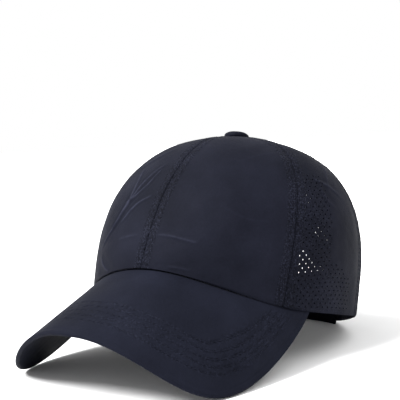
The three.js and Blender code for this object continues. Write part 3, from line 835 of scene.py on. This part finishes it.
def add_visor():
    fine = np.linspace(-VISOR_LAST_COLUMN, VISOR_LAST_COLUMN, 4001)
    reached = distance_along(visor_outline(fine))
    along = np.linspace(0, reached[-1], VISOR_COLUMNS)
    u = np.interp(along, reached, fine)
    inner = rim_point(VISOR_END_ANGLE * u)
    outline = visor_outline(u)
    outward = unit(outline - inner)
    ruling = length_of(outline - inner)
    edge = np.minimum(EDGE_RADIUS, 0.45 * ruling)
    last = 1 - edge / ruling
    none = np.zeros(VISOR_COLUMNS)

    def face_row(share, offset, strength):
        """A row's points, pattern place and painted light layers (the painted speckle's amount, and no
        painted highlight), side by side.
        """
        v = share * last
        point = visor_point(u, v)
        from_crown = length_of(point - inner)
        relief, gathered = visor_relief(u, point, distance_to_outline(point), from_crown)
        point = point + visor_up(u, v) * (offset + strength * relief)[:, None]
        return np.column_stack([point, along, from_crown, VISOR_STIPPLE * gathered, none])

    rows = [face_row(share, -GAP, 1) for share in np.linspace(0, 1, VISOR_TOP_ROWS)]
    tuck = VISOR_TUCK * np.column_stack([-outward * np.array([1, 1, 0.2]), none, none - 1, none, none])
    rows.insert(0, rows[0] + tuck)
    up = visor_up(u, last)
    centre = visor_point(u, last) - up * (GAP + EDGE_RADIUS)
    finish = rows[-1][:, 5:]
    for turn in np.linspace(0, math.pi, VISOR_EDGE_ROWS + 2)[1:-1]:
        beyond = edge * (1 + EDGE_SWELL * math.sin(turn)) * math.sin(turn)
        point = centre + up * (EDGE_RADIUS * math.cos(turn)) + outward * beyond[:, None]
        rows.append(np.column_stack([point, along, ruling + EDGE_RADIUS * turn, finish]))
    for share in np.linspace(1, 0, VISOR_UNDER_ROWS):
        rows.append(face_row(share, -GAP - VISOR_THICKNESS, -UNDERSIDE_RELIEF))
    rows.append(rows[-1] + tuck)
    rows = np.stack(rows, 1)
    add_tube("visor", rows[..., :3], "visor_cloth", rows[..., 3:5], finish=rows[..., 5:])


def visor_stitch_lines():
    u = np.linspace(-0.93, 0.93, 420)
    v = np.linspace(0.02, 0.98, 60)
    grid_u, grid_v = np.meshgrid(u, v, indexing="ij")
    from_edge = distance_to_outline(visor_point(grid_u, grid_v))
    lines = []
    for row in VISOR_ROWS:
        wanted = visor_row_distance(row, u)
        row_v = np.array([np.interp(-wanted[i], -from_edge[i], v, left=0, right=0) for i in range(len(u))])
        kept = row_v > 0.06
        up = visor_up(u[kept], row_v[kept])
        lines.append((visor_point(u[kept], row_v[kept]) - up * (GAP + VISOR_STITCH_DEPTH), up))
    return lines


# Button


# The button's lower rim, as shares of its radius and of the rim's height, and its pleats
BUTTON_RIM = [(0.72, 0), (0.9, 0), (0.97, 0.25), (1, 0.6), (1, 1)]
BUTTON_SEGMENTS = 72
BUTTON_PLEATS = 26
PLEAT_DEPTH = 0.09
BUTTON_UNEVENNESS = 0.07


def add_button():
    around = circle(BUTTON_SEGMENTS)
    turns = np.arange(BUTTON_SEGMENTS) * (2 * math.pi / BUTTON_SEGMENTS)
    low = BUTTON_HEIGHT / 3
    profile = [(BUTTON_RADIUS * radius, GAP + low * height) for radius, height in BUTTON_RIM]
    for turn in np.linspace(0.12, math.pi / 2, 16)[:-1]:
        rise = (BUTTON_HEIGHT - low) * math.sin(turn) ** 0.9
        profile.append((BUTTON_RADIUS * math.cos(turn) ** 0.7, GAP + low + rise))
    rows = []
    outward = np.column_stack([around, np.full(BUTTON_SEGMENTS, 0.5)])
    for radius, height in profile:
        ring = np.column_stack([radius * around, np.full(BUTTON_SEGMENTS, height)])
        pleat = PLEAT_DEPTH * np.sin(turns * BUTTON_PLEATS) * dent(height - GAP - 0.7, 0.9)
        soft = BUTTON_UNEVENNESS * ripples(ring, 5, 41)
        point = np.array([0, -APEX_FORWARD, CROWN_HEIGHT]) + ring + outward * (pleat + soft)[:, None]
        rows.append(np.column_stack([point, ring[:, :2]]))
    rows = np.stack(rows)
    add_tube("top_button", rows[..., :3], "crown_cloth", rows[..., 3:], sharp_angle=60)


# Crossed elastic straps


def share_at_height(height):
    return solve(lambda share: crown_point(180, share)[..., 2], height, 0, 1)


def cross_route(share):
    upper_x = opening_edge(share_at_height(CROSS_UPPER_HEIGHT)) + STRAP_TUCK
    lower_x = opening_edge(share_at_height(CROSS_LOWER_HEIGHT)) + STRAP_TUCK
    inner_sum = (8 * CROSS_MIDDLE_HEIGHT - CROSS_UPPER_HEIGHT - CROSS_LOWER_HEIGHT) / 3
    inner_x, reach = (lower_x - upper_x) / 3, (upper_x + lower_x) / 3
    controls = [
        (upper_x, CROSS_UPPER_HEIGHT),
        ((inner_x + reach) / 2, (inner_sum + CROSS_STEEPNESS) / 2),
        ((inner_x - reach) / 2, (inner_sum - CROSS_STEEPNESS) / 2),
        (-lower_x, CROSS_LOWER_HEIGHT),
    ]
    rest = 1 - share
    weights = [rest**3, 3 * rest**2 * share, 3 * rest * share**2, share**3]
    x = sum(weight * control[0] for weight, control in zip(weights, controls))
    height = sum(weight * control[1] for weight, control in zip(weights, controls))
    return x, height


def back_of_crown(x, height):
    share = share_at_height(height)
    point = crown_point(angle_at_x(share, np.abs(x)), share)
    point[..., 0] *= np.where(np.asarray(x) < 0, -1, 1)
    return point


def back_normal(x, height):
    across = back_of_crown(x - 0.5, height) - back_of_crown(x + 0.5, height)
    up = back_of_crown(x, height + 0.5) - back_of_crown(x, height - 0.5)
    return unit(np.cross(across, up))


def ribbon_sag():
    x = cross_route(0)[0]
    half = ELASTIC_WIDTH / 2
    chord = back_of_crown(x, CROSS_UPPER_HEIGHT + half) + back_of_crown(x, CROSS_UPPER_HEIGHT - half)
    return float(length_of(back_of_crown(x, CROSS_UPPER_HEIGHT) - chord / 2))


def rounded_section(width, thickness, ribs, rib_depth):
    """A flat strap's section as (across, out of the face), ribbed on both faces, with rounded edges."""
    deep = thickness / 2
    flat = width / 2 - deep
    across = np.linspace(-flat, flat, 4 * ribs)
    face = np.stack([across, deep + rib_depth * np.cos(across / flat * math.pi * ribs)], -1)
    turns = np.linspace(0, math.pi, 7)[1:-1]
    edge = np.stack([flat + deep * np.sin(turns), deep * np.cos(turns)], -1)
    half = np.concatenate([face, edge])
    return np.concatenate([half, -half])


def strap_cloth(section, lengths):
    """The pattern place of a strap's points: across its section and along its length."""
    return np.stack(np.broadcast_arrays(section[:, 0], lengths[:, None]), -1)


def add_cross_strap(side):
    sag = ribbon_sag()
    depth = BINDING_INSIDE + GAP + sag
    over = ELASTIC_THICKNESS + 2 * GAP + sag if side > 0 else 0

    def centre_line(share):
        x, height = cross_route(share)
        lift = over * (1 - smooth((np.abs(2 * share - 1) - 0.45) / 0.5))
        return back_of_crown(x, height) + back_normal(x, height) * (lift - depth)[..., None]

    share = np.linspace(0, 1, 110)
    centre = centre_line(share)
    along = unit(centre_line(np.clip(share + 1e-3, 0, 1)) - centre_line(np.clip(share - 1e-3, 0, 1)))
    x, height = cross_route(share)
    normal = back_normal(x, height)
    across = unit(np.cross(along, normal))
    section = rounded_section(ELASTIC_WIDTH, ELASTIC_THICKNESS, ELASTIC_RIBS, ELASTIC_RIB_DEPTH)
    middle = centre - normal * (ELASTIC_THICKNESS / 2)
    rows = middle[:, None] + across[:, None] * section[:, :1] + normal[:, None] * section[:, 1:]
    rows[..., 0] *= side
    cloth = strap_cloth(section, distance_along(centre))
    if side > 0:
        rows, cloth = rows[:, ::-1], cloth[:, ::-1]
    add_tube(f"cross_strap_{SIDE_WORDS[side]}", rows, "elastic", cloth, sharp_angle=70)


# Back strap, loop and tab


def back_line(x):
    x = np.asarray(x, float)
    side = np.clip(x / (OPENING_HALF_WIDTH + STRAP_TUCK), -1, 1)
    tucked = BINDING_INSIDE + 2 * GAP + BACK_STRAP_THICKNESS / 2
    inset = lerp(BACK_STRAP_INSET, tucked, side * side)
    rim_y = RIM_REAR_DEPTH * np.sqrt(1 - (x / RIM_HALF_WIDTH) ** 2)
    normal = unit(np.stack([x / RIM_HALF_WIDTH**2, rim_y / RIM_REAR_DEPTH**2], -1))
    return np.stack([x, rim_y], -1) - normal * inset[..., None]


def back_frame(x):
    along = unit(back_line(x + 0.5) - back_line(x - 0.5))
    return back_line(x), along, np.stack([-along[..., 1], along[..., 0]], -1)


heel_y = float(back_line(0)[1]) + BACK_STRAP_THICKNESS / 2


def floor_height(y):
    return -BACK_STRAP_DROP - (heel_y - y) * math.tan(math.radians(REST_TILT))


loop_at, loop_along, loop_out = back_frame(-LOOP_CENTRE_X)
fold_radius = math.hypot(LOOP_BAR, LOOP_DEPTH) / 2 + GAP + BACK_STRAP_THICKNESS / 2
fold_reach = fold_radius + BACK_STRAP_THICKNESS / 2
loop_reach_y = abs(loop_along[1]) * LOOP_WIDTH / 2 + loop_out[1] * fold_reach
floor_low, floor_high = (floor_height(loop_at[1] + end * loop_reach_y) for end in (-1, 1))
loop_low = floor_high + LOOP_FLOOR_CLEARANCE
strap_lift = loop_low + LOOP_BAR + GAP - floor_low
window_height = BACK_STRAP_HEIGHT + 2 * GAP + floor_high - floor_low
bar_offset = (LOOP_WIDTH - LOOP_BAR) / 2


def bar_x(towards):
    return -LOOP_CENTRE_X + towards * bar_offset * loop_along[0]


def fold_route(towards):
    """The strap's line round the bar on one side of the loop: plan position and lift, in rows."""
    turn = np.linspace(0, math.pi, 22)[:, None]
    centre = loop_at + loop_along * (towards * bar_offset)
    at = centre + loop_out * fold_radius * np.cos(turn) - loop_along * (towards * fold_radius) * np.sin(turn)
    return np.concatenate([at, np.full((len(at), 1), strap_lift)], 1)


def layer_route(from_x, to_x, near_x, layer, run, far_lift):
    x = np.linspace(from_x, to_x, max(6, int(abs(to_x - from_x))))
    near = 1 - smooth(np.abs(x - near_x) / run)
    at, _, out = back_frame(x)
    apart = lerp(BACK_STRAP_THICKNESS + GAP if layer < 0 else 0, fold_radius, near)
    lift = lerp(far_lift, strap_lift, near)
    return np.concatenate([at + out * (layer * apart)[:, None], lift[:, None]], 1)


def add_standing_strap(name, route):
    """A strap that stands on edge along a route of plan position and lift."""
    steps = length_of(np.diff(route[:, :2], axis=0))
    route = route[np.concatenate([[True], steps > 0.15])]
    along = unit(np.gradient(route[:, :2], axis=0))
    section = rounded_section(BACK_STRAP_HEIGHT, BACK_STRAP_THICKNESS, WEBBING_RIBS, WEBBING_RIB_DEPTH)
    out = np.stack([-along[:, 1], along[:, 0]], -1)
    plan = route[:, None, :2] + out[:, None] * section[:, 1:]
    height = floor_height(plan[..., 1]) + route[:, None, 2] + section[:, 0] + BACK_STRAP_HEIGHT / 2
    rows = np.concatenate([plan, height[..., None]], -1)
    cloth = strap_cloth(section, distance_along(route[:, :2]))
    add_tube(name, rows, "webbing", cloth, sharp_angle=70)


def add_back_strap():
    near_x = bar_x(1)
    fold_x = near_x + BACK_STRAP_THICKNESS
    outer = layer_route(OPENING_HALF_WIDTH + STRAP_TUCK, fold_x, near_x, 1, LIFT_RUN, 0)
    inner = layer_route(fold_x, near_x + BACK_STRAP_RETURN, near_x, -1, LIFT_RUN, 0)
    route = np.concatenate([outer, fold_route(1), inner])
    add_standing_strap("back_strap", route)


def add_loop_tab():
    near_x = bar_x(-1)
    fold_x = near_x - BACK_STRAP_THICKNESS
    outer = layer_route(-OPENING_HALF_WIDTH - STRAP_TUCK, fold_x, near_x, 1, TAB_RUN, strap_lift)
    inner = layer_route(fold_x, -OPENING_HALF_WIDTH, near_x, -1, TAB_RUN, strap_lift)
    route = np.concatenate([outer, fold_route(-1), inner])
    add_standing_strap("loop_tab", route)


def add_loop():
    half_width, half_height = (LOOP_WIDTH - LOOP_BAR) / 2, (window_height + LOOP_BAR) / 2
    path, outward = [], []
    for number, (sign_x, sign_y) in enumerate([(1, -1), (1, 1), (-1, 1), (-1, -1)]):
        centre = np.array([sign_x * (half_width - LOOP_CORNER), sign_y * (half_height - LOOP_CORNER)])
        for turn in np.linspace(0, math.pi / 2, 8):
            direction = turn + math.pi / 2 * (number - 1)
            outward.append((math.cos(direction), math.sin(direction)))
            path.append(centre + LOOP_CORNER * np.array(outward[-1]))
    path, outward = np.array(path), np.array(outward)
    turns = (np.arange(LOOP_SIDES) + 0.5) * (2 * math.pi / LOOP_SIDES)
    section = np.stack([np.cos(turns), np.sin(turns)], -1)
    section = np.sign(section) * np.abs(section) ** LOOP_ROUNDNESS * np.array([LOOP_BAR, LOOP_DEPTH]) / 2
    axes = np.array([[*-loop_along, 0], [0, 0, 1], [*loop_out, 0]])
    origin = np.array([*loop_at, loop_low + half_height + LOOP_BAR / 2])
    ring = path[:, None] + outward[:, None] * section[:, :1]
    points = origin + ring @ axes[:2] + section[:, 1:] * axes[2]
    count, columns = points.shape[:2]
    index = np.arange(count * columns).reshape(count, columns)
    after_row = np.roll(index, -1, axis=0)
    quads = np.stack([index, after_row, np.roll(after_row, -1, 1), np.roll(index, -1, 1)], -1).reshape(-1, 4)
    add_piece("strap_loop", points, quads[:, ::-1].tolist(), "loop_plastic")


# Materials


def new_material(name):
    material = bpy.data.materials.new(name)
    material.use_nodes = True
    tree = material.node_tree
    tree.nodes.clear()
    output = tree.nodes.new("ShaderNodeOutputMaterial")
    shader = tree.nodes.new("ShaderNodeBsdfPrincipled")
    tree.links.new(shader.outputs[0], output.inputs["Surface"])
    return material, tree, shader


def noise(tree, vector, scale, detail=3):
    node = tree.nodes.new("ShaderNodeTexNoise")
    node.inputs["Scale"].default_value = scale
    node.inputs["Detail"].default_value = detail
    tree.links.new(vector, node.inputs["Vector"])
    return node.outputs["Fac"]


def wave(tree, vector, direction, period):
    """Ridges across one direction of the cloth, with a period in millimetres."""
    node = tree.nodes.new("ShaderNodeTexWave")
    node.bands_direction = direction
    node.inputs["Scale"].default_value = 2 * math.pi / 20 / period
    node.inputs["Distortion"].default_value = 0
    tree.links.new(vector, node.inputs["Vector"])
    return node.outputs["Fac"]


def math_node(tree, operation, first, second):
    node = tree.nodes.new("ShaderNodeMath")
    node.operation = operation
    for socket, value in zip(node.inputs, (first, second)):
        if isinstance(value, (int, float)):
            socket.default_value = value
        else:
            tree.links.new(value, socket)
    return node.outputs[0]


def colour_ramp(tree, value, stops):
    node = tree.nodes.new("ShaderNodeValToRGB")
    while len(node.color_ramp.elements) < len(stops):
        node.color_ramp.elements.new(0.5)
    for element, (place, colour) in zip(node.color_ramp.elements, stops):
        element.position = place
        element.color = (*colour, 1)
    tree.links.new(value, node.inputs["Fac"])
    return node.outputs["Color"]


def bump(tree, height, strength, distance, before=None):
    node = tree.nodes.new("ShaderNodeBump")
    node.inputs["Strength"].default_value = strength
    node.inputs["Distance"].default_value = distance
    tree.links.new(height, node.inputs["Height"])
    if before is not None:
        tree.links.new(before, node.inputs["Normal"])
    return node.outputs["Normal"]


def scaled_noise(tree, vector, scale, detail, strength):
    return math_node(tree, "MULTIPLY", noise(tree, vector, scale, detail), strength)


def attribute(tree, name):
    node = tree.nodes.new("ShaderNodeAttribute")
    node.attribute_name = name
    return node.outputs["Vector"]


# Noise in the cloth: scale, detail and strength. The first two give the dye its random tone. The stipple is a
# painted speckle of highlight and shade, for glints and shadows on gathered cloth and round holes, taken
# about its middle. The next breaks up the painted highlights on crests and the painted shade in grooves.
MOTTLE = (26, 4, 0.5)
FLECK = (900, 2, 0.16)
STIPPLE = (1450, 1, 1.75)
STIPPLE_MIDDLE = 0.53
PAINTED_LIGHT_NOISE = (330, 3, 0.9)
ROUGHNESS_SPREAD = (60, 3, 0.16)


def cloth_material(name, dark, light, warp, weft, depth, roughness, sheen):
    """Woven cloth: threads both ways along its own pattern, uneven dye, painted speckle, highlights and
    shade, and a soft crumple.
    """
    material, tree, shader = new_material(name)
    place = tree.nodes.new("ShaderNodeTexCoord").outputs["Object"]
    pattern = attribute(tree, "cloth")
    threads = math_node(tree, "ADD", wave(tree, pattern, "X", warp), wave(tree, pattern, "Y", weft))
    # The painted light layers: the amount of painted speckle, and the painted highlight on crests or, below
    # 0, the painted shade in grooves
    finish = tree.nodes.new("ShaderNodeSeparateXYZ")
    tree.links.new(attribute(tree, "finish"), finish.inputs[0])
    gathered, painted_light = finish.outputs[0], finish.outputs[1]
    dye = math_node(tree, "ADD", scaled_noise(tree, place, *MOTTLE), scaled_noise(tree, place, *FLECK))
    # Painted speckle of highlight and shade, light and dark about its middle
    stipple = scaled_noise(tree, place, *STIPPLE)
    stipple = math_node(tree, "SUBTRACT", stipple, STIPPLE_MIDDLE * STIPPLE[2])
    stipple = math_node(tree, "MULTIPLY", stipple, gathered)
    # Painted highlight on crests and painted shade in grooves, broken up by noise
    uneven_painted_light = math_node(tree, "MULTIPLY", scaled_noise(tree, place, *PAINTED_LIGHT_NOISE), painted_light)
    mixed = math_node(tree, "ADD", math_node(tree, "ADD", dye, stipple), uneven_painted_light)
    # The ramp's middle is the dye's random tone; its deep end serves mostly the painted shade and dark
    # speckle, its pale end mostly the painted highlights and bright speckle
    deep = tuple(0.5 * value for value in dark)
    pale_highlight = tuple(2.9 * value + 0.004 for value in light)
    stops = [(0.05, deep), (0.26, dark), (0.4, light), (0.95, pale_highlight)]
    tree.links.new(colour_ramp(tree, mixed, stops), shader.inputs["Base Color"])
    spread = scaled_noise(tree, place, *ROUGHNESS_SPREAD)
    rough = math_node(tree, "ADD", spread, roughness - ROUGHNESS_SPREAD[2] / 2)
    tree.links.new(rough, shader.inputs["Roughness"])
    crumple = bump(tree, noise(tree, place, 240, 4), 0.5, 0.00035)
    tree.links.new(bump(tree, threads, 0.6, depth * MM, crumple), shader.inputs["Normal"])
    shader.inputs["Sheen Weight"].default_value = sheen
    shader.inputs["Sheen Roughness"].default_value = 0.45
    shader.inputs["Sheen Tint"].default_value = (0.75, 0.8, 1.0, 1)
    shader.inputs["Specular IOR Level"].default_value = 0.02
    return material


def plastic_material(name, dark, light):
    material, tree, shader = new_material(name)
    place = tree.nodes.new("ShaderNodeTexCoord").outputs["Object"]
    colour = colour_ramp(tree, noise(tree, place, 80, 3), [(0.3, dark), (0.7, light)])
    tree.links.new(colour, shader.inputs["Base Color"])
    rough = math_node(tree, "ADD", scaled_noise(tree, place, 300, 3, 0.2), 0.28)
    tree.links.new(rough, shader.inputs["Roughness"])
    tree.links.new(bump(tree, noise(tree, place, 1500, 2), 0.25, 0.00004), shader.inputs["Normal"])
    return material


# For each cloth its dark and light dye, warp and weft pitch and depth in millimetres, roughness and sheen
NAVY = ((0.005, 0.0055, 0.0094), (0.0076, 0.0083, 0.0141))
CLOTHS = {
    "crown_cloth": (*NAVY, 0.55, 0.5, 0.05, 0.6, 0.006),
    "perforated_cloth": (*NAVY, 0.55, 0.5, 0.05, 0.6, 0.006),
    "visor_cloth": ((0.005, 0.0056, 0.0097), (0.0074, 0.0083, 0.0144), 0.55, 0.5, 0.05, 0.6, 0.006),
    "binding_cloth": ((0.0026, 0.0031, 0.0062), (0.0038, 0.0046, 0.009), 0.6, 0.6, 0.06, 0.62, 0.01),
    "elastic": ((0.0022, 0.0024, 0.004), (0.0034, 0.0037, 0.006), 1.7, 0.8, 0.12, 0.7, 0.012),
    "webbing": ((0.0021, 0.0023, 0.0038), (0.0033, 0.0036, 0.0058), 1.1, 1.3, 0.14, 0.7, 0.012),
    "thread": ((0.0058, 0.0064, 0.0108), (0.0095, 0.0104, 0.017), 0.4, 0.4, 0.04, 0.45, 0.02),
}
materials = {name: cloth_material(name, *values) for name, values in CLOTHS.items()}
LOOP_COLOURS = ((0.0045, 0.0045, 0.005), (0.0075, 0.0075, 0.0085))
materials["loop_plastic"] = plastic_material("loop_plastic", *LOOP_COLOURS)

# Pieces
patterns = {place: Pattern(angle) for place, angle in PANEL_MIDDLES.items()}
no_holes = np.zeros((0, 2))
side_holes = hole_centres(patterns["side"], side_zone)
rear_holes = hole_centres(patterns["rear"], rear_zone)


def rear_inner(shares):
    return angle_at_x(shares, np.maximum(binding_edge(shares), 0.02))


def centre_seam(sign):
    return lambda shares: sign * front_seam(shares)


stitch_lines = crown_stitch_lines()
for side, word in SIDE_WORDS.items():
    for place, start_edge, end_edge, holes, look in (
        ("front", centre_seam(side), side_seam, no_holes, "crown_cloth"),
        ("side", side_seam, rear_seam, side_holes, "perforated_cloth"),
        ("rear", rear_seam, rear_inner, rear_holes, "perforated_cloth"),
    ):
        add_panel(f"{place}_panel_{word}", patterns[place], start_edge, end_edge, holes, side, look)
    stitch_lines += add_band(side)
    add_cross_strap(side)
add_visor()
add_button()
add_back_strap()
add_loop_tab()
add_loop()
add_piece("crown_stitching", *stitches(stitch_lines), "thread", slot="crown_cloth")
add_piece("visor_stitching", *stitches(visor_stitch_lines()), "thread", slot="visor_cloth")

# Floor, light and camera
floor_material, floor_tree, floor_shader = new_material("floor")
floor_shader.inputs["Roughness"].default_value = 0.9
floor_place = floor_tree.nodes.new("ShaderNodeTexCoord").outputs["Object"]
floor_stops = [(0.3, (0.9, 0.9, 0.9)), (0.7, (0.92, 0.92, 0.92))]
floor_colour = colour_ramp(floor_tree, noise(floor_tree, floor_place, 3, 2), floor_stops)
floor_tree.links.new(floor_colour, floor_shader.inputs["Base Color"])
bpy.ops.mesh.primitive_plane_add(size=60, location=(0, 0, 0))
floor = bpy.context.object
floor.name = "floor"
floor.data.materials.append(floor_material)

world = bpy.data.worlds.new("studio")
bpy.context.scene.world = world
world.use_nodes = True
world.node_tree.nodes["Background"].inputs["Color"].default_value = (1, 1, 1, 1)
world.node_tree.nodes["Background"].inputs["Strength"].default_value = 1.0


def direction(around, above):
    """Azimuth from the front towards the wearer's left, and elevation, both in radians, as a unit vector."""
    level = math.cos(above)
    return Vector((math.sin(around) * level, -math.cos(around) * level, math.sin(above)))


def add_sun(name, azimuth, elevation, spread, strength):
    """A soft sun: azimuth is measured from the front towards the wearer's left, both angles in degrees."""
    light = bpy.data.lights.new(name, "SUN")
    light.angle = math.radians(spread)
    light.energy = strength
    lamp = bpy.data.objects.new(name, light)
    bpy.context.scene.collection.objects.link(lamp)
    towards = direction(math.radians(azimuth), math.radians(elevation))
    lamp.rotation_euler = towards.to_track_quat("Z", "Y").to_euler()


add_sun("key", -38, 52, 30, 7)
add_sun("fill", 110, 60, 50, 0.8)

CAMERA_PLACE = (0.3273, -0.4539, 0.1353)
CAMERA_AZIMUTH = 35.489
CAMERA_ELEVATION = 3.903
CAMERA_ROLL = -3.143
FOCAL_PIXELS = 874.57
IMAGE_PIXELS = 400
azimuth, roll = math.radians(CAMERA_AZIMUTH), math.radians(CAMERA_ROLL)
backward = direction(azimuth, math.radians(CAMERA_ELEVATION))
level = Vector((math.cos(azimuth), math.sin(azimuth), 0))
upward = backward.cross(level)
right = level * math.cos(roll) + upward * math.sin(roll)
top = upward * math.cos(roll) - level * math.sin(roll)
camera_data = bpy.data.cameras.new("camera")
camera = bpy.data.objects.new("camera", camera_data)
bpy.context.scene.collection.objects.link(camera)
camera_data.sensor_width = 36
camera_data.lens = FOCAL_PIXELS / IMAGE_PIXELS * camera_data.sensor_width
camera_data.clip_start = 0.01
turn = Matrix((right, top, backward)).transposed()
camera.matrix_world = Matrix.Translation(CAMERA_PLACE) @ turn.to_4x4()
bpy.context.scene.camera = camera
bpy.context.scene.view_settings.view_transform = "Standard"
